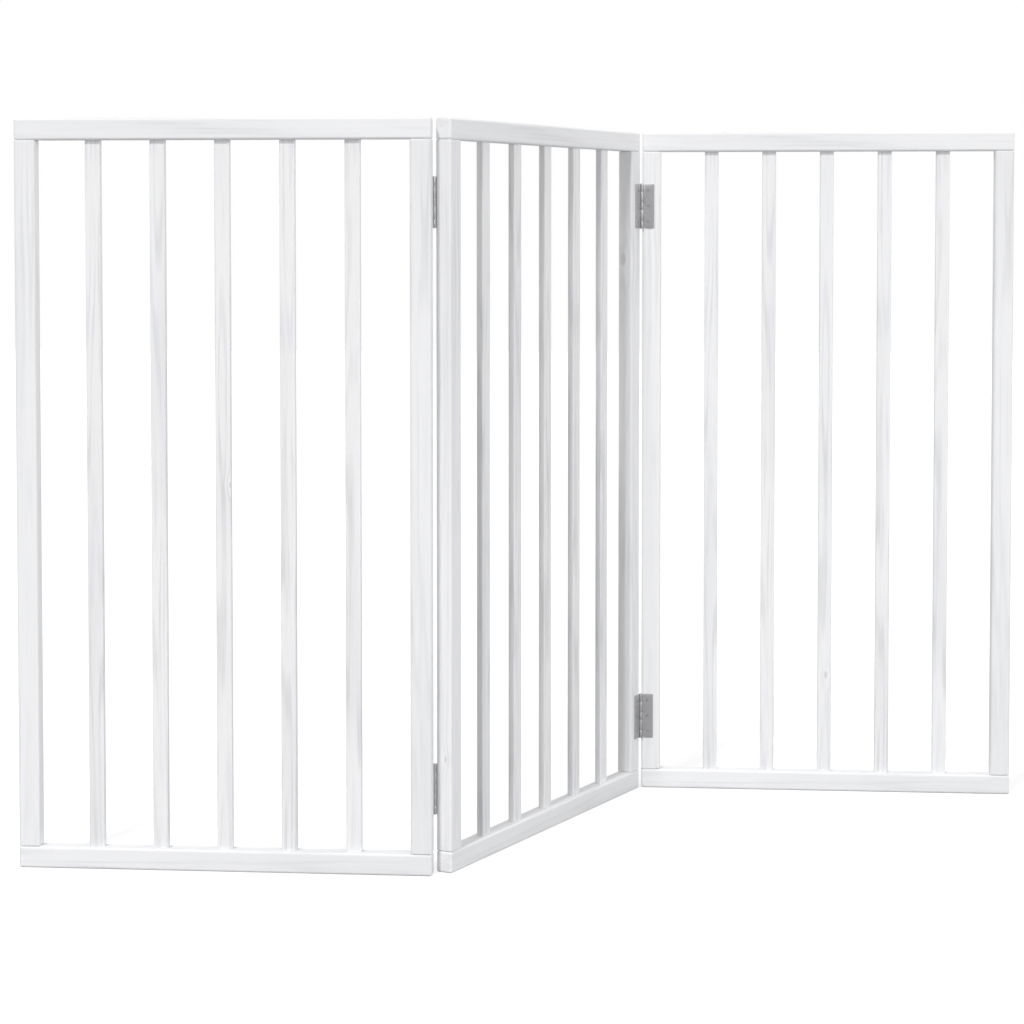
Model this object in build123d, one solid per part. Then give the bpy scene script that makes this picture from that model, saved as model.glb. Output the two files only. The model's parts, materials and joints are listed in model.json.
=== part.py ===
"""Folding pet gate: three slatted wooden panels in a row, joined by two pairs of butt hinges.

Frame: millimetres, +Z up.  The origin is on the floor, under the middle of the middle panel.  The two outer
panels lie along X, the left one in front (-Y) and the right one behind (+Y), and the middle panel runs
slantwise from one to the other, so that the open gate stands in a Z.
Each panel is drawn in a frame of its own: X along its width, +Y to its back, Z up from its foot.
"""

import math
import os

from build123d import *

# --- Panels -----------------------------------------------------------------------------------------------
panel_width = 500.0
panel_height = 900.0
frame_thickness = 21.0  # rails and stiles, front to back
stile_width = 25.5
rail_height = 26.0
frame_round = 3.0  # rounding of the rails' and stiles' long edges
stile_end_round = 1.5  # rounding of the stiles' ends, which draws a fine groove at each joint
slat_count = 5
slat_width = 18.5
slat_thickness = 9.0
slat_round = 1.5
slat_tenon = 9.0  # length of each slat end that is let into its rail
fold_angle = 65.0  # turn from an outer panel to the middle one, as the gate stands

# --- Dowelled corners -------------------------------------------------------------------------------------
dowel_radius = 3.0
dowel_length = 30.0
dowel_chamfer = 0.8
dowel_spacing = 12.0  # between the two dowels of a corner, along the rail
glue_gap = 0.1  # all round a dowel or a slat's end, and at the bottom of its hole

# --- Butt hinges ------------------------------------------------------------------------------------------
hinge_length = 60.0
hinge_inset = 100.0  # from a panel's top or foot to the middle of the nearer hinge
leaf_reach = 17.0  # from the pin's axis to the leaf's far edge
leaf_thickness = 1.0
leaf_gap = 0.2  # between the two leaves of a hinge that is folded shut
leaf_corner = 1.5
pin_radius = 1.45
pin_clearance = 0.05  # around the pin, in every knuckle
pin_head_radius = 2.1
pin_head_height = 0.7
pin_head_round = 0.4
centre_knuckle = 10.0  # the middle one of the middle leaf's three knuckles
wide_knuckle = 14.5  # each of the outer leaf's two knuckles
barrel_gap = 0.25  # between the knuckles and the stiles' rounded edges
knuckle_gap = 0.25  # between neighbouring knuckles, along the pin
notch_gap = 1.2  # between a leaf and the other leaf's knuckles

# --- Countersunk wood screws ------------------------------------------------------------------------------
screws_per_leaf = 3
screw_edge = 9.0  # from a leaf's end to its first screw
screw_reach = 9.0  # from the pin's axis to the screws
screw_length = 14.0
screw_tip = 3.0
screw_shank_radius = 1.5
screw_head_radius = 3.1
screw_head_height = 1.6
screw_clearance = 0.05  # all round a screw, in the leaf and in the wood
recess_length = 3.2  # of each arm of the cross recess
recess_width = 0.8
recess_depth = 0.9

# --- Worked out from the sizes above ----------------------------------------------------------------------
LEFT, RIGHT = -1, 1  # a panel's ends
FRONT, BACK = -1, 1  # a panel's faces
# The end and face of each panel that carry hinges; the left fold opens at the back, the right in front.
HINGED = {"left": [(RIGHT, BACK)], "middle": [(LEFT, BACK), (RIGHT, FRONT)], "right": [(LEFT, FRONT)]}
hinge_heights = {"upper": panel_height - hinge_inset, "lower": hinge_inset}
stile_length = panel_height - 2 * rail_height
slat_pitch = (panel_width - 2 * stile_width + slat_width) / (slat_count + 1)
knuckle_radius = pin_radius + pin_clearance + leaf_thickness
leaf_face = -leaf_gap / 2  # the leaf's outer side, in the hinge's frame
wood_face = leaf_face - leaf_thickness  # the wood it lies on
# The barrel lies half sunk between the rounded edges of the two stiles, as near to both as barrel_gap.
barrel_reach = frame_round + knuckle_radius + barrel_gap
end_gap = math.sqrt(barrel_reach**2 - (frame_round - wood_face) ** 2) - frame_round
pivot_x = panel_width / 2 + end_gap
pivot_y = frame_thickness / 2 - wood_face


# --- Places -----------------------------------------------------------------------------------------------
def panel_places():
    """Where each panel stands: the middle one turned over the origin, the outer ones about their pins."""
    middle = Rot(0, 0, fold_angle)
    left_pin = (middle * Pos(-pivot_x, pivot_y, 0)).position
    right_pin = (middle * Pos(pivot_x, -pivot_y, 0)).position
    return {
        "left": Pos(left_pin) * Pos(-pivot_x, -pivot_y, 0),
        "middle": middle,
        "right": Pos(right_pin) * Pos(pivot_x, pivot_y, 0),
    }


def hinge_place(end, face, height):
    """A hinge's frame in its panel's frame: Z along the pin, X to the leaf's far edge, Y off the wood."""
    pivot = (end * pivot_x, face * pivot_y, height)
    return Plane(pivot, x_dir=(-end, 0, 0), z_dir=(0, 0, -end * face)).location


def slat_places():
    """The X of each slat's middle in its panel."""
    return [(i - (slat_count - 1) / 2) * slat_pitch for i in range(slat_count)]


def dowel_places():
    """The middle of each corner dowel, which lies in the joint between a stile and a rail."""
    stile_x = (panel_width - stile_width) / 2
    joints = (rail_height, panel_height - rail_height)
    sides = (-dowel_spacing / 2, dowel_spacing / 2)
    return [Pos(end * stile_x + side, 0, z) for end in (LEFT, RIGHT) for z in joints for side in sides]


def screw_places():
    """The middle of each screw's head in a hinge's frame."""
    first = screw_edge - hinge_length / 2
    pitch = -2 * first / (screws_per_leaf - 1)
    return [Pos(screw_reach, leaf_face, first + i * pitch) for i in range(screws_per_leaf)]


# --- Wooden pieces, in their panel's frame ----------------------------------------------------------------
def upright(width, thickness, length, radius):
    """A bar standing on its end, with its four long edges rounded."""
    bar = Box(width, thickness, length)
    return fillet(bar.edges().filter_by(Axis.Z), radius)


def corner_dowels(clearance=0.0):
    """The eight dowels that join stiles to rails, or their holes when grown by a clearance."""
    peg = Cylinder(dowel_radius + clearance, dowel_length + 2 * clearance)
    peg = chamfer(peg.edges().filter_by(GeomType.CIRCLE), dowel_chamfer)
    return [place * peg for place in dowel_places()]


def slats(clearance=0.0):
    """The slats with their let-in ends, or their mortises when grown by a clearance."""
    length = stile_length + 2 * (slat_tenon + clearance)
    width = slat_width + 2 * clearance
    thickness = slat_thickness + 2 * clearance
    bar = upright(width, thickness, length, slat_round + clearance)
    return [Pos(x, 0, panel_height / 2) * bar for x in slat_places()]


def rail(middle_z):
    """A rail across the whole panel, rounded all over, with mortises for the slats and dowel holes."""
    bar = Box(panel_width, frame_thickness, rail_height)
    bar = Pos(0, 0, middle_z) * fillet(bar.edges(), frame_round)
    return bar - slats(glue_gap) - corner_dowels(glue_gap)


def stile(end, hinged):
    """The upright at one end of a panel, bored for its dowels and for the screws of any hinge on it."""
    x = end * (panel_width - stile_width) / 2
    bar = upright(stile_width, frame_thickness, stile_length, frame_round)
    ends = bar.faces().sort_by(Axis.Z)
    bar = fillet(ends[0].edges() + ends[-1].edges(), stile_end_round)
    bar = Pos(x, 0, panel_height / 2) * bar - corner_dowels(glue_gap)
    for hinged_end, face in hinged:
        if hinged_end == end:
            for height in hinge_heights.values():
                bar -= [hinge_place(end, face, height) * hole for hole in screw_holes()]
    return bar


# --- Hinges and screws, in the hinge's frame --------------------------------------------------------------
def slab(x_low, x_high, z_low, z_high):
    """A flat piece of the leaf's sheet, lying on the wood."""
    sheet = Box(x_high - x_low, leaf_thickness, z_high - z_low)
    return Pos((x_low + x_high) / 2, leaf_face - leaf_thickness / 2, (z_low + z_high) / 2) * sheet


def knuckle_spans():
    """The stretches of the pin that the middle leaf's three knuckles and the outer leaf's two take."""
    wide_low = centre_knuckle / 2 + knuckle_gap
    wide_high = wide_low + wide_knuckle
    end_low = wide_high + knuckle_gap
    end_high = hinge_length / 2
    three = [(-end_high, -end_low), (-centre_knuckle / 2, centre_knuckle / 2), (end_low, end_high)]
    two = [(-wide_high, -wide_low), (wide_low, wide_high)]
    return three, two


def hinge_leaf(spans):
    """A steel leaf with knuckles rolled over the given stretches of the pin, and countersunk holes."""
    leaf = slab(knuckle_radius + notch_gap, leaf_reach, -hinge_length / 2, hinge_length / 2)
    far_corners = leaf.edges().filter_by(Axis.Y).group_by(Axis.X)[-1]
    leaf = fillet(far_corners, leaf_corner)
    for low, high in spans:
        leaf += slab(0, leaf_reach / 2, low, high)
        leaf += Pos(0, 0, (low + high) / 2) * Cylinder(knuckle_radius, high - low)
    leaf -= Cylinder(pin_radius + pin_clearance, 2 * hinge_length)
    return leaf - screw_holes()


def hinge_pin():
    """The pin, with a low round head at each end that keeps it in the middle leaf."""
    head = Cylinder(pin_head_radius, pin_head_height)
    outer_rim = head.edges().filter_by(GeomType.CIRCLE).sort_by(Axis.Z)[-1]
    head = Pos(0, 0, (hinge_length + pin_head_height) / 2) * fillet(outer_rim, pin_head_round)
    return Cylinder(pin_radius, hinge_length) + head + Rot(180, 0, 0) * head


def turned_screw(clearance=0.0):
    """A screw's plain turned shape, driven towards -Y, or its hole when grown by a clearance."""
    head = screw_head_radius + clearance
    shank = screw_shank_radius + clearance
    tip = -screw_length - clearance
    outline = Polyline(
        (0, 0),
        (head, 0),
        (shank, -screw_head_height),
        (shank, tip + screw_tip),
        (0, tip),
        close=True,
    )
    return revolve(make_face(outline), Axis.Y)


def screw_holes():
    """The cutters for a leaf's screws."""
    hole = turned_screw(screw_clearance)
    return [place * hole for place in screw_places()]


def screws():
    """A leaf's countersunk screws, flush with its outer side, with a cross recess in each head."""
    arm = Box(recess_length, 2 * recess_depth, recess_width)
    screw = turned_screw() - arm - Rot(0, 90, 0) * arm
    return [place * screw for place in screw_places()]


# --- Assembly ---------------------------------------------------------------------------------------------
def wooden_parts(panel):
    """A panel's wooden pieces by name."""
    parts = {
        "top_rail": rail(panel_height - rail_height / 2),
        "bottom_rail": rail(rail_height / 2),
        "left_stile": stile(LEFT, HINGED[panel]),
        "right_stile": stile(RIGHT, HINGED[panel]),
        "corner_dowels": Compound(corner_dowels()),
    }
    for number, slat in enumerate(slats(), 1):
        parts[f"slat_{number}"] = slat
    return parts


def hinge_parts(panel):
    """The leaves and screws on a panel by name, and on the middle panel the pins as well."""
    three, two = knuckle_spans()
    side, spans = ("middle", three) if panel == "middle" else ("outer", two)
    parts = {}
    for end, face in HINGED[panel]:
        fold = "left" if face == BACK else "right"
        for level, height in hinge_heights.items():
            place = hinge_place(end, face, height)
            hinge = f"{fold}_{level}_hinge"
            parts[f"{hinge}_{side}_leaf"] = place * hinge_leaf(spans)
            parts[f"{hinge}_{side}_screws"] = place * Compound(screws())
            if panel == "middle":
                parts[f"{hinge}_pin"] = place * hinge_pin()
    return parts


def main():
    """Writes each piece in its place, under its own name."""
    os.makedirs("parts", exist_ok=True)
    for panel, place in panel_places().items():
        for name, piece in wooden_parts(panel).items():
            export_step(place * piece, f"parts/{panel}_panel_{name}.step")
        for name, piece in hinge_parts(panel).items():
            export_step(place * piece, f"parts/{name}.step")


main()
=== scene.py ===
import json
import math

import bmesh
import bpy
from mathutils import Matrix, Vector


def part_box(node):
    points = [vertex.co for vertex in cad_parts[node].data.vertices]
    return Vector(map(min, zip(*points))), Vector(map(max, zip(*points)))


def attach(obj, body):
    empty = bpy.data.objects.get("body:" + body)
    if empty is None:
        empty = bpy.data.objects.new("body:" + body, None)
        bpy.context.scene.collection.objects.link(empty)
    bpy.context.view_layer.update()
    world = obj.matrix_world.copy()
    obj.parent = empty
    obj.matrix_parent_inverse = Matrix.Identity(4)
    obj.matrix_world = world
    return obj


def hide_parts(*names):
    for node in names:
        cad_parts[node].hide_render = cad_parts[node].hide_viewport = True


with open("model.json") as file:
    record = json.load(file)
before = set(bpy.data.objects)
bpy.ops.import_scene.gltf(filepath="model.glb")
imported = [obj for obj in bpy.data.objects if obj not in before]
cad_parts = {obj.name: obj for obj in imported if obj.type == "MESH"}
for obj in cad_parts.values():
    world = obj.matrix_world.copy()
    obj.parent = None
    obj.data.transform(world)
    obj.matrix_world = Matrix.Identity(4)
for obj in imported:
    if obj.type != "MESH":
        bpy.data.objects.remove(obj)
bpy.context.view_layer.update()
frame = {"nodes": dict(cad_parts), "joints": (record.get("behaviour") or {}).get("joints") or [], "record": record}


# --- Corner dowels ----------------------------------------------------------------------------------------
# Two beech pegs at each corner of a panel, half in the rail and half in the stile, glued in.  They are left
# as turned: pale brown, with the short dark flecks of beech running along each peg.
beech_light = (0.66, 0.47, 0.29, 1.0)
beech_dark = (0.45, 0.28, 0.15, 1.0)
beech_roughness = 0.62
beech_relief = 0.00002
room_middle = (0.0, 0.0, 0.0)


def add_node(tree, kind, inputs=None, **settings):
    """Adds a shader node; each input is a number, a colour or another node's output."""
    node = tree.nodes.new("ShaderNode" + kind)
    for name, value in settings.items():
        setattr(node, name, value)
    for name, value in (inputs or {}).items():
        if isinstance(value, bpy.types.NodeSocket):
            tree.links.new(value, node.inputs[name])
        else:
            node.inputs[name].default_value = value
    return node


def new_material(name):
    """A material with an empty tree, and that tree."""
    material = bpy.data.materials.new(name)
    material.use_nodes = True
    material.node_tree.nodes.clear()
    return material, material.node_tree


def maths(tree, operation, *terms):
    """The output of a Math node."""
    return add_node(tree, "Math", dict(enumerate(terms)), operation=operation).outputs[0]


def ramp(tree, value, low, high, top=1.0):
    """A value spread from 0 at low to top at high, and held there."""
    spread = {"Value": value, "From Min": low, "From Max": high, "To Max": top}
    return add_node(tree, "MapRange", spread).outputs[0]


def noise(tree, place, scale, detail=2.0):
    """The grey output of a Noise texture."""
    return add_node(tree, "TexNoise", {"Vector": place, "Scale": scale, "Detail": detail}).outputs[0]


def mixed(tree, share, first, second):
    """The colour between first and second."""
    return add_node(tree, "Mix", {0: share, 6: first, 7: second}, data_type="RGBA").outputs[2]


def board_place(tree, centre, turn, lean, scale):
    """A place on a board measured from centre, turned with its panel, laid down by lean and stretched."""
    place = add_node(tree, "TexCoord").outputs["Object"]
    inputs = {"Vector": place, "Location": centre, "Rotation": (0.0, lean, turn), "Scale": scale}
    return add_node(tree, "Mapping", inputs, vector_type="TEXTURE").outputs[0]


def finished(tree, colour, roughness, relief, depth, metallic=0.0, gloss=0.5):
    """Ends a material's tree: a surface of that colour and roughness, with the relief raised by depth."""
    bump = add_node(tree, "Bump", {"Strength": 1.0, "Distance": depth, "Height": relief}).outputs[0]
    inputs = {
        "Base Color": colour,
        "Roughness": roughness,
        "Metallic": metallic,
        "Normal": bump,
        "Specular IOR Level": gloss,
    }
    surface = add_node(tree, "BsdfPrincipled", inputs)
    add_node(tree, "OutputMaterial", {"Surface": surface.outputs[0]})


beech, tree = new_material("beech_peg")
flecks = noise(tree, board_place(tree, room_middle, 0.0, 0.0, (1, 1, 8)), 1800.0)
growth = noise(tree, board_place(tree, room_middle, 0.0, 0.0, (1, 1, 20)), 500.0)
figure = maths(tree, "ADD", ramp(tree, flecks, 0.55, 0.7), ramp(tree, growth, 0.3, 0.7, 0.4))
finished(tree, mixed(tree, figure, beech_light, beech_dark), beech_roughness, figure, beech_relief)
for panel in ("left", "middle", "right"):
    frame["nodes"][f"{panel}_panel_corner_dowels"].material_slots[0].material = beech


# --- Rails ------------------------------------------------------------------------------------------------
# The top and bottom bars of each panel: planed pine, rounded over on every edge, then sprayed with one thin
# coat of satin white, so that the long grain streaks of the wood stay faintly visible.
paint_light = (0.872, 0.875, 0.885, 1.0)
paint_dark = (0.70, 0.705, 0.722, 1.0)
paint_roughness = (0.52, 0.64)  # on the early wood, on the late wood
paint_gloss = 0.2
grain_relief = 0.00006
rail_grain = 0.8  # how strongly the grain shows through the paint
knot_width = 0.45  # of a knot's height
knot_reach = 5.0  # half heights from a knot's middle, within which the grain bends round it
knot_bend = 6.0
knot_rim = (1.1, 0.3)  # half heights from its middle, where a knot begins and where it is darkest
knot_darkness = 1.6
fold = math.radians(frame["joints"][0]["range_deg"][1])  # the turn that brings the panels into line
panel_turns = {"left": 0.0, "middle": fold, "right": 0.0}


def middle_of(node):
    """The middle of a CAD node's box."""
    low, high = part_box(node)
    return (Vector(low) + Vector(high)) / 2


def painted_pine(name, centre, turn, lean, strength, knots=()):
    """White paint on pine whose grain runs along the bar; each knot is a place and a half height."""
    material, tree = new_material(name)

    def along(stretch):
        return board_place(tree, centre, turn, lean, (1, 1, stretch))

    contour = maths(tree, "MULTIPLY", noise(tree, along(26.0), 32.0), 60.0)
    dark_knots = 0.0
    for place, half_height in knots:
        sizes = (half_height * knot_width, half_height * knot_width, half_height)
        on_knot = board_place(tree, place, turn, 0.0, sizes)
        away = add_node(tree, "VectorMath", {0: on_knot}, operation="LENGTH").outputs["Value"]
        contour = maths(tree, "ADD", contour, ramp(tree, away, knot_reach, 0.0, knot_bend))
        dark_knots = maths(tree, "ADD", dark_knots, ramp(tree, away, *knot_rim, knot_darkness))
    rings = ramp(tree, maths(tree, "SINE", contour), -0.2, 1.0)
    patches = ramp(tree, noise(tree, along(5.0), 40.0), 0.35, 0.7, 0.6)
    fibres = ramp(tree, noise(tree, along(60.0), 900.0, 3.0), 0.5, 0.8, 0.3)
    clouds = ramp(tree, noise(tree, along(7.0), 15.0), 0.45, 0.72, 0.4)
    late_wood = maths(tree, "ADD", maths(tree, "MULTIPLY", rings, patches), fibres)
    grain = maths(tree, "MULTIPLY", maths(tree, "ADD", late_wood, clouds), strength)
    grain = maths(tree, "ADD", grain, dark_knots)
    early_rough, late_rough = paint_roughness
    roughness = add_node(tree, "Mix", {0: late_wood, 2: early_rough, 3: late_rough}).outputs[0]
    paint = mixed(tree, grain, paint_light, paint_dark)
    finished(tree, paint, roughness, grain, grain_relief, gloss=paint_gloss)
    return material


for panel, turn in panel_turns.items():
    centre = middle_of(f"{panel}_panel_top_rail")
    rail_paint = painted_pine(f"{panel}_rail_paint", centre, turn, math.pi / 2, rail_grain)
    for level in ("top", "bottom"):
        frame["nodes"][f"{panel}_panel_{level}_rail"].material_slots[0].material = rail_paint


# --- Stiles -----------------------------------------------------------------------------------------------
# The uprights at a panel's ends, of the same pine.  Their ends are eased, which leaves a fine groove at each
# joint.  One has a small knot on its end face by the lower hinge, another a long one on its inner side.
stile_grain = 0.9
stile_knots = {  # bar, place across and along its panel from the bar's middle, height, half height
    "left": [],
    "middle": [
        ("left_stile", (-0.003, -0.0127), 0.137, 0.004),
        ("right_stile", (0.003, -0.0127), 0.728, 0.010),
    ],
    "right": [],
}


def knot_places(panel, turn, knots):
    """The place in the room and the half height of each knot, given in its bar's own directions."""
    places = []
    for bar, (across, along), height, half_height in knots:
        offset = Matrix.Rotation(turn, 3, "Z") @ Vector((along, across, 0.0))
        centre = middle_of(f"{panel}_panel_{bar}")
        places.append(((centre.x + offset.x, centre.y + offset.y, height), half_height))
    return places


for panel, turn in panel_turns.items():
    centre = middle_of(f"{panel}_panel_top_rail")
    knots = knot_places(panel, turn, stile_knots[panel])
    stile_paint = painted_pine(f"{panel}_stile_paint", centre, turn, 0.0, stile_grain, knots)
    for side in ("left", "right"):
        frame["nodes"][f"{panel}_panel_{side}_stile"].material_slots[0].material = stile_paint


# --- Slats ------------------------------------------------------------------------------------------------
# Five thin uprights a panel, ripped from the same pine and let into the rails at both ends.  The thin stock
# takes less paint, so its grain shows a little more, and two of them have a knot.
slat_count = 5
slat_grain = 1.5
slat_knots = {
    "left": [("slat_3", (-0.0045, 0.0088), 0.464, 0.004)],
    "middle": [],
    "right": [("slat_3", (-0.0045, 0.002), 0.159, 0.006)],
}

for panel, turn in panel_turns.items():
    centre = middle_of(f"{panel}_panel_bottom_rail")
    knots = knot_places(panel, turn, slat_knots[panel])
    slat_paint = painted_pine(f"{panel}_slat_paint", centre, turn, 0.0, slat_grain, knots)
    for number in range(1, slat_count + 1):
        frame["nodes"][f"{panel}_panel_slat_{number}"].material_slots[0].material = slat_paint


# --- Hinge leaves -----------------------------------------------------------------------------------------
# Eight steel leaves, two to a hinge, pressed from 1 mm sheet: three countersunk holes, two rounded corners,
# and knuckles cut from the near edge, stepped down and rolled round the pin, which leaves a seam.
# A leaf is drawn in millimetres, with X from the pin to its far edge, Y along the pin and Z off the wood.
leaf_length = 60.0
leaf_reach = 17.0
leaf_thickness = 1.0
leaf_corner = 1.5
corner_segments = 6
wood_side = -1.1  # the leaf's side on the wood, from the pin's axis
notch_edge = 3.7
knuckle_radius = 2.5
step_radius = 0.78  # of the wood side, where the sheet steps down to the knuckle
step_steps = 6
roll_steps = 40
seam_angle = math.radians(8.0)  # where the roll ends, above the leaf
edge_ease = 0.12
ease_segments = 2
cut_angle = math.radians(60.0)  # an edge sharper than this was cut, and is eased
shading_angle = math.radians(32.0)  # an edge sharper than this shades as an edge
millimetre = 0.001
three_knuckles = [(-30.0, -20.0), (-5.0, 5.0), (20.0, 30.0)]
two_knuckles = [(-19.75, -5.25), (5.25, 19.75)]
screw_reach = 9.0
screw_pitch = 21.0
screw_middles = (-screw_pitch, 0.0, screw_pitch)
hole_radii = (2.15, 3.15)  # of a screw hole, on the wood side and on the outer side
hole_sides = 32
same_place = 0.001  # nearer than this, two points are one
zinc_light = (0.54, 0.537, 0.553, 1.0)
zinc_dark = (0.43, 0.427, 0.443, 1.0)
zinc_metal = 0.75
zinc_relief = 0.000008

zinc, tree = new_material("zinc_plate")
place = add_node(tree, "TexCoord").outputs["Object"]
rolling = noise(tree, board_place(tree, room_middle, 0.0, 0.0, (1, 1, 12)), 2600.0)
rolling = ramp(tree, rolling, 0.35, 0.7, 0.5)
bloom = ramp(tree, noise(tree, place, 260.0, 3.0), 0.35, 0.75, 0.5)
dullness = maths(tree, "ADD", rolling, bloom)
roughness = ramp(tree, dullness, -2.0, 1.0, 0.55)
plating = mixed(tree, dullness, zinc_light, zinc_dark)
finished(tree, plating, roughness, rolling, zinc_relief, zinc_metal)


def drawn(bm, name, place, material, node):
    """Puts a piece drawn in millimetres in its place, on the body of the CAD node that it stands for."""
    bmesh.ops.remove_doubles(bm, verts=bm.verts, dist=same_place)
    bmesh.ops.recalc_face_normals(bm, faces=bm.faces)
    bmesh.ops.transform(bm, matrix=place @ Matrix.Scale(millimetre, 4), verts=bm.verts)
    mesh = bpy.data.meshes.new(name)
    bm.to_mesh(mesh)
    bm.free()
    mesh.shade_smooth()
    mesh.set_sharp_from_angle(angle=shading_angle)
    mesh.materials.append(material)
    piece = bpy.data.objects.new(name, mesh)
    bpy.context.scene.collection.objects.link(piece)
    bodies = frame["record"]["behaviour"]["bodies"]
    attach(piece, next(body for body, nodes in bodies.items() if node in nodes))
    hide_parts(node)


def rolled_leaf(knuckles):
    """One leaf: a drilled sheet whose knuckles are stepped, rolled up, thickened and eased."""
    bm = bmesh.new()
    cuts = sorted({cut for span in knuckles for cut in span} | {-leaf_length / 2, leaf_length / 2})
    outline = [bm.verts.new((notch_edge, cut, wood_side)) for cut in cuts]
    outline += [bm.verts.new((leaf_reach, side * leaf_length / 2, wood_side)) for side in (1, -1)]
    for pair in zip(outline, outline[1:] + outline[:1]):
        bm.edges.new(pair)
    bmesh.ops.bevel(
        bm,
        geom=outline[-2:],
        affect="VERTICES",
        offset=leaf_corner,
        segments=corner_segments,
        profile=0.5,
        material=-1,
    )
    for middle in screw_middles:
        hole = Matrix.Translation((screw_reach, middle, wood_side))
        bmesh.ops.create_circle(bm, segments=hole_sides, radius=hole_radii[0], matrix=hole)
    bmesh.ops.triangle_fill(bm, edges=bm.edges[:], use_beauty=True)

    roll_radius = knuckle_radius - leaf_thickness / 2
    bend_radius = step_radius + leaf_thickness / 2
    step_angle = math.acos((bend_radius - wood_side - leaf_thickness / 2) / (roll_radius + bend_radius))
    step_start = (roll_radius + bend_radius) * math.sin(step_angle)
    tongues = []
    for edge in bm.edges:
        middle = (edge.verts[0].co + edge.verts[1].co) / 2
        on_edge = all(abs(vert.co.x - notch_edge) < same_place for vert in edge.verts)
        if on_edge and any(low < middle.y < high for low, high in knuckles):
            tongues.append(edge)
    grown = bmesh.ops.extrude_edge_only(bm, edges=tongues)["geom"]
    verts = [item for item in grown if isinstance(item, bmesh.types.BMVert)]
    bmesh.ops.translate(bm, vec=(step_start - notch_edge, 0, 0), verts=verts)
    ends = [item for item in grown if isinstance(item, bmesh.types.BMEdge)]
    ends = [edge for edge in ends if all(vert in verts for vert in edge.verts)]
    roll_angle = 2 * math.pi - (math.pi / 2 - step_angle) - seam_angle
    bends = (
        (Vector((step_start, 0, wood_side - step_radius)), -step_angle, step_steps),
        (Vector((0, 0, 0)), roll_angle, roll_steps),
    )
    for centre, angle, steps in bends:
        spun = bmesh.ops.spin(bm, geom=ends, cent=centre, axis=(0, 1, 0), angle=angle, steps=steps)
        ends = [item for item in spun["geom_last"] if isinstance(item, bmesh.types.BMEdge)]
    bmesh.ops.remove_doubles(bm, verts=bm.verts, dist=same_place)
    bmesh.ops.recalc_face_normals(bm, faces=bm.faces)
    if max(bm.faces, key=lambda face: face.calc_center_median().x).normal.z > 0:
        bmesh.ops.reverse_faces(bm, faces=bm.faces)
    bmesh.ops.solidify(bm, geom=bm.faces[:], thickness=leaf_thickness)

    flare = hole_radii[1] / hole_radii[0]
    outer_side = wood_side + leaf_thickness
    outer_verts = [vert for vert in bm.verts if vert.co.z > outer_side - same_place]
    for middle in screw_middles:
        axis = Vector((screw_reach, middle, 0))
        rim = [vert for vert in outer_verts if (vert.co.xy - axis.xy).length < 1.01 * hole_radii[0]]
        bmesh.ops.scale(bm, vec=(flare, flare, 1), space=Matrix.Translation(-axis), verts=rim)
    sharp = [edge for edge in bm.edges if edge.is_manifold and edge.calc_face_angle() > cut_angle]
    bmesh.ops.bevel(
        bm,
        geom=sharp,
        affect="EDGES",
        offset=edge_ease,
        segments=ease_segments,
        profile=0.5,
        material=-1,
        clamp_overlap=True,
    )
    return bm


def hinge_frame(pin, panel, reach_side, face_side):
    """A leaf's place: reach_side is the leaf's way along its panel, face_side its outer side across it."""
    turn = Matrix.Rotation(panel_turns[panel], 3, "Z")
    reach = turn @ Vector((reach_side, 0, 0))
    off_wood = turn @ Vector((0, face_side, 0))
    axes = Matrix((reach, off_wood.cross(reach), off_wood)).transposed()
    return Matrix.Translation(middle_of(pin)) @ axes.to_4x4()


leaf_places = {}
for fold_side, face_side in (("left", 1), ("right", -1)):
    for level in ("upper", "lower"):
        hinge = f"{fold_side}_{level}_hinge"
        leaf_places[f"{hinge}_outer"] = hinge_frame(f"{hinge}_pin", fold_side, -face_side, face_side)
        leaf_places[f"{hinge}_middle"] = hinge_frame(f"{hinge}_pin", "middle", face_side, face_side)
for leaf, place in leaf_places.items():
    knuckles = three_knuckles if leaf.endswith("middle") else two_knuckles
    drawn(rolled_leaf(knuckles), f"{leaf}_leaf_rolled", place, zinc, f"{leaf}_leaf")


# --- Hinge pins -------------------------------------------------------------------------------------------
# One to a hinge: zinc-plated wire through all five knuckles, with its two ends peened over into low round
# heads that hold it in.
pin_radius = 1.45
pin_head_radius = 2.1
pin_head_height = 0.7
pin_head_edge = 0.4  # of the head's height, below its dome
pin_sides = 36
head_steps = 5


def headed_pin():
    """A pin along Y: half of its outline spun about the axis, then mirrored to the other end."""
    bm = bmesh.new()
    half = leaf_length / 2
    outline = [(pin_radius, 0.0), (pin_radius, half), (pin_head_radius, half)]
    for step in range(head_steps + 1):
        angle = step / head_steps * math.pi / 2
        rise = pin_head_edge + (1 - pin_head_edge) * math.sin(angle)
        outline.append((pin_head_radius * math.cos(angle), half + pin_head_height * rise))
    verts = [bm.verts.new((radius, along, 0)) for radius, along in outline]
    edges = [bm.edges.new(pair) for pair in zip(verts, verts[1:])]
    bmesh.ops.spin(
        bm,
        geom=verts + edges,
        cent=(0, 0, 0),
        axis=(0, 1, 0),
        angle=2 * math.pi,
        steps=pin_sides,
        use_merge=True,
    )
    bmesh.ops.remove_doubles(bm, verts=bm.verts, dist=same_place)
    bmesh.ops.mirror(bm, geom=bm.verts[:] + bm.edges[:] + bm.faces[:], axis="Y", merge_dist=same_place)
    return bm


for leaf, place in leaf_places.items():
    if leaf.endswith("middle"):
        hinge = leaf.removesuffix("_middle")
        drawn(headed_pin(), f"{hinge}_pin_headed", place, zinc, f"{hinge}_pin")


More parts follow.
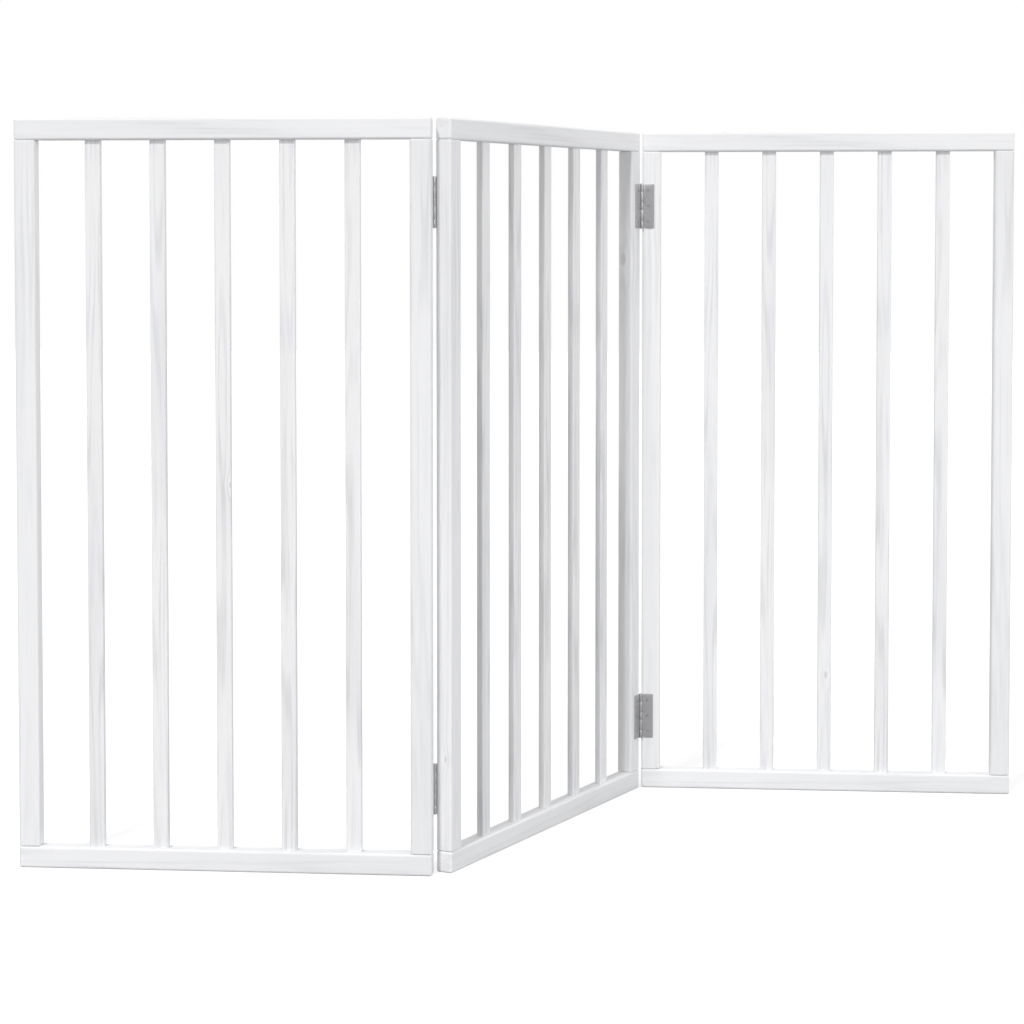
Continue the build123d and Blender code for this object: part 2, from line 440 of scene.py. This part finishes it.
# --- Screws -----------------------------------------------------------------------------------------------
# Three to a leaf: zinc-plated countersunk wood screws with a cross recess, driven flush.  The three on a leaf
# stop with their crosses at different angles.
screw_length = 14.0
screw_tip = 3.0
shank_radius = 1.5
head_radius = 3.1
head_height = 1.6
cross_reach = 1.6
cross_width = 0.8
cross_depth = 0.9
cross_lean = 0.12  # how far each wall of the recess leans in
screw_sides = 36
cross_step = math.radians(37.0)  # from one screw's cross to the next


def cross_headed_screw():
    """One screw pointing towards -Z: its outline spun round, then a cross sunk into the head."""
    bm = bmesh.new()
    outline = [(0.0, -screw_length), (shank_radius, screw_tip - screw_length), (shank_radius, -head_height)]
    outline += [(head_radius, -edge_ease), (head_radius - edge_ease, 0.0)]
    verts = [bm.verts.new((radius, 0, height)) for radius, height in outline]
    edges = [bm.edges.new(pair) for pair in zip(verts, verts[1:])]
    bmesh.ops.spin(
        bm,
        geom=verts + edges,
        cent=(0, 0, 0),
        axis=(0, 0, 1),
        angle=2 * math.pi,
        steps=screw_sides,
        use_merge=True,
    )
    bmesh.ops.remove_doubles(bm, verts=bm.verts, dist=same_place)
    top_rim = [edge for edge in bm.edges if edge.is_boundary]

    grid = bmesh.ops.create_grid(bm, x_segments=3, y_segments=3, size=cross_reach)["verts"]
    on_rim = 0.9 * cross_reach  # further out than this, a vertex is on the grid's rim
    for vert in grid:
        for axis in (0, 1):
            if abs(vert.co[axis]) < on_rim:
                vert.co[axis] = math.copysign(cross_width / 2, vert.co[axis])
    corners = [vert for vert in grid if all(abs(value) > on_rim for value in vert.co.xy)]
    bmesh.ops.delete(bm, geom=corners, context="VERTS")
    cross = [face for face in bm.faces if face.calc_center_median().z > -same_place]
    cross_rim = [edge for edge in bm.edges if edge.is_boundary and edge not in top_rim]
    bmesh.ops.triangle_fill(bm, edges=top_rim + cross_rim, use_beauty=True)
    bmesh.ops.recalc_face_normals(bm, faces=bm.faces)
    bmesh.ops.inset_region(
        bm, faces=cross, thickness=cross_lean, depth=-cross_depth, use_even_offset=True
    )
    return bm


def driven_screws():
    """The three screws of a leaf, driven towards -Z."""
    screw = cross_headed_screw()
    one = bpy.data.meshes.new("one_screw")
    screw.to_mesh(one)
    screw.free()
    bm = bmesh.new()
    for number, middle in enumerate(screw_middles):
        drawn_before = len(bm.verts)
        bm.from_mesh(one)
        place = Matrix.Translation((screw_reach, middle, wood_side + leaf_thickness))
        place = place @ Matrix.Rotation(number * cross_step, 4, "Z")
        bmesh.ops.transform(bm, matrix=place, verts=bm.verts[drawn_before:])
    bpy.data.meshes.remove(one)
    return bm


for leaf, place in leaf_places.items():
    drawn(driven_screws(), f"{leaf}_screws_driven", place, zinc, f"{leaf}_screws")


# --- Floor and room ---------------------------------------------------------------------------------------
# A plain white studio floor that runs out of sight.  It throws back only part of the light that falls on it,
# so that the undersides of the rails stay grey, and glows a little to the eye, so that it looks white.
floor_reach = 12.0
floor_bounce = 0.45
floor_glow = 0.65

floor_material, tree = new_material("white_studio_floor")
matt = add_node(tree, "BsdfDiffuse", {"Color": (floor_bounce, floor_bounce, floor_bounce, 1.0)})
eye = add_node(tree, "LightPath").outputs["Is Camera Ray"]
glow = maths(tree, "MULTIPLY", eye, floor_glow)
shine = add_node(tree, "Emission", {"Strength": glow})
both = add_node(tree, "AddShader", {0: matt.outputs[0], 1: shine.outputs[0]})
add_node(tree, "OutputMaterial", {"Surface": both.outputs[0]})

bpy.ops.mesh.primitive_plane_add(size=2 * floor_reach)
floor = bpy.context.object
floor.name = "studio_floor"
floor.data.materials.append(floor_material)


# --- Light ------------------------------------------------------------------------------------------------
# Two soft lamps in front of the gate, the main one high and to the left, the other low and to the right, in a
# white room.  The main lamp stands nearly in line with the middle panel, so its slats shade each other.
lamps = {  # turn, height, strength and softness
    "main_lamp": (-23.5, 45.0, 1.8, 9.0),
    "side_lamp": (55.0, 14.0, 0.83, 25.0),
}
room_light = 0.70
room_slopes = (0.09, 0.27, -0.10)  # how much brighter the room is towards +X, +Y and overhead

for name, (turn, height, strength, softness) in lamps.items():
    lamp = bpy.data.lights.new(name, "SUN")
    lamp.energy = strength
    lamp.angle = math.radians(softness)
    lamp_object = bpy.data.objects.new(name, lamp)
    lamp_object.rotation_euler = (math.radians(90.0 - height), 0.0, math.radians(turn))
    bpy.context.scene.collection.objects.link(lamp_object)

world = bpy.data.worlds.new("white_room")
bpy.context.scene.world = world
world.use_nodes = True
tree = world.node_tree
tree.nodes.clear()
direction = add_node(tree, "TexCoord").outputs["Generated"]
change = add_node(tree, "VectorMath", {0: direction, 1: room_slopes}, operation="DOT_PRODUCT")
level = maths(tree, "ADD", change.outputs["Value"], room_light)
eye = add_node(tree, "LightPath").outputs["Is Camera Ray"]
seen = add_node(tree, "Mix", {0: eye, 2: level, 3: 1.0})
room = add_node(tree, "Background", {"Color": (1.0, 1.0, 1.0, 1.0), "Strength": seen.outputs[0]})
add_node(tree, "OutputWorld", {"Surface": room.outputs[0]})


# --- Camera -----------------------------------------------------------------------------------------------
# At table height, three metres in front and a little to the right, with a long lens.  It looks slightly down,
# and its view is shifted down as well, so that the gate's uprights stay nearly upright.
camera_lens = 82.36
camera_shift = -0.18
camera_place = (0.2021, -2.9796, 0.76497)
camera_tilt = 2.342  # downwards
camera_turn = 4.691  # to the left

camera = bpy.data.cameras.new("camera")
camera.lens = camera_lens
camera.shift_y = camera_shift
camera_object = bpy.data.objects.new("camera", camera)
camera_object.location = camera_place
camera_object.rotation_euler = (math.radians(90.0 - camera_tilt), 0.0, math.radians(camera_turn))
bpy.context.scene.collection.objects.link(camera_object)
bpy.context.scene.camera = camera_object
bpy.context.scene.view_settings.view_transform = "Standard"
